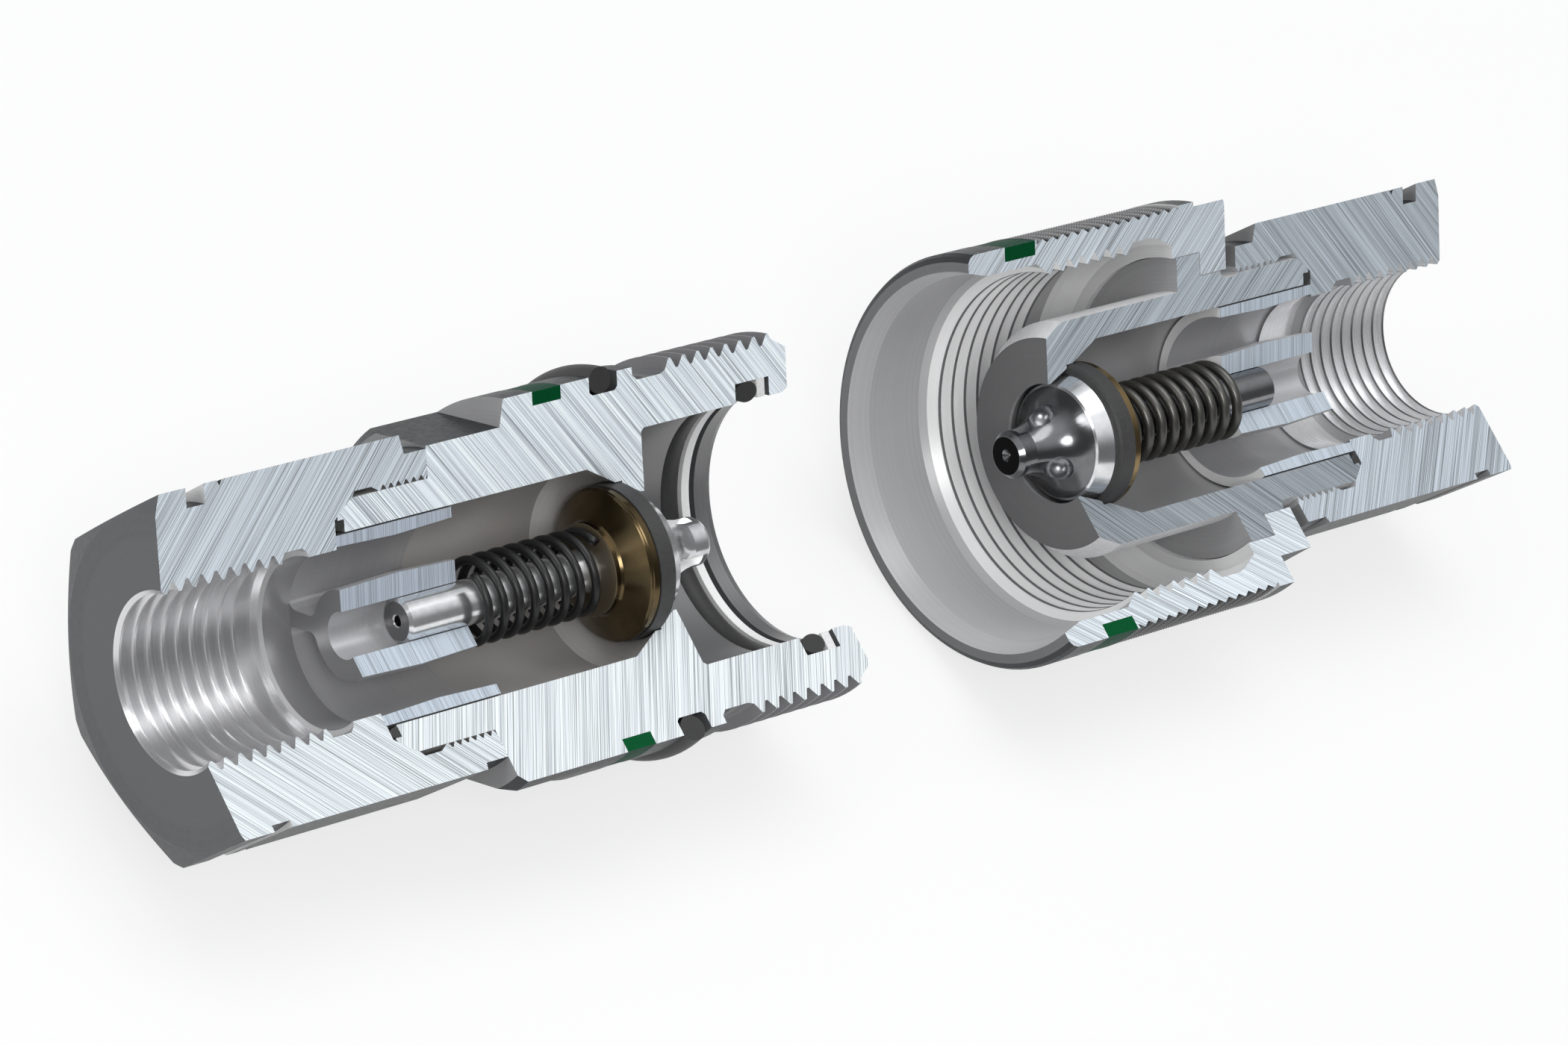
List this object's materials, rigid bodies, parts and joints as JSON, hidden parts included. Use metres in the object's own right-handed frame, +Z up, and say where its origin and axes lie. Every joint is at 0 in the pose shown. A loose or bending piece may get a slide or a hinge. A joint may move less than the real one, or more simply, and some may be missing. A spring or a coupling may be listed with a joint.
{
  "type": "screw type hydraulic coupling",
  "caption": "Cutaway screw-on quick coupling for hydraulic lines: threaded male half and female half with knurled sleeve, each with a spring-loaded poppet valve.",
  "frame": {"origin": "on the ground under the middle of the pair's bounding box", "axes": "+X along the common axis from the male half to the female half, +Z up, the cut-away wedge opens towards -Y and up"},
  "size_m": [0.1894, 0.0474, 0.044],
  "materials": {
    "housing_steel": "machined, oiled dark outside and bright on the cut faces",
    "sleeve_steel": "knurled and darkened outside, bright on the cut faces",
    "guide_steel": "satin with blued cut faces",
    "valve_chrome": "polished",
    "retainer_brass": "dark yellow passivated",
    "spring_wire": "black",
    "seal_rubber": "matt black",
    "backup_white": "matt white",
    "marker_green": "dark green, satin"
  },
  "bodies": {
    "housings": {"male_adapter": "housing_steel", "male_body": "housing_steel", "male_guide": "guide_steel", "male_spring": "spring_wire", "male_adapter_oring": "seal_rubber", "male_mouth_oring": "seal_rubber", "male_backup_ring": "backup_white", "male_dust_oring": "seal_rubber", "male_marker_ring": "marker_green", "female_body": "housing_steel", "female_adapter": "housing_steel", "female_guide": "guide_steel", "female_spring": "spring_wire", "female_adapter_oring": "seal_rubber"},
    "male_valve": {"male_poppet": "valve_chrome", "male_valve_seal": "seal_rubber", "male_seal_retainer": "retainer_brass"},
    "female_valve": {"female_poppet": "valve_chrome", "female_valve_seal": "seal_rubber", "female_seal_retainer": "retainer_brass"},
    "sleeve": {"coupling_sleeve": "sleeve_steel", "sleeve_marker_ring": "marker_green"}
  },
  "joints": [
    {"name": "male_valve_slide", "type": "slide", "parent": "housings", "child": "male_valve", "axis": [-1, 0, 0], "range_m": [0, 0.007], "stiffness_N_per_m": 1500, "springref_m": -0.006, "deforming": ["male_spring"]},
    {"name": "female_valve_slide", "type": "slide", "parent": "housings", "child": "female_valve", "axis": [1, 0, 0], "range_m": [0, 0.007], "stiffness_N_per_m": 1500, "springref_m": -0.006, "deforming": ["female_spring"]},
    {"name": "sleeve_spin", "type": "hinge", "parent": "housings", "child": "sleeve", "pos_m": [0.038, -0.00053, 0.0242], "axis": [1, 0, 0], "continuous": true}
  ]
}
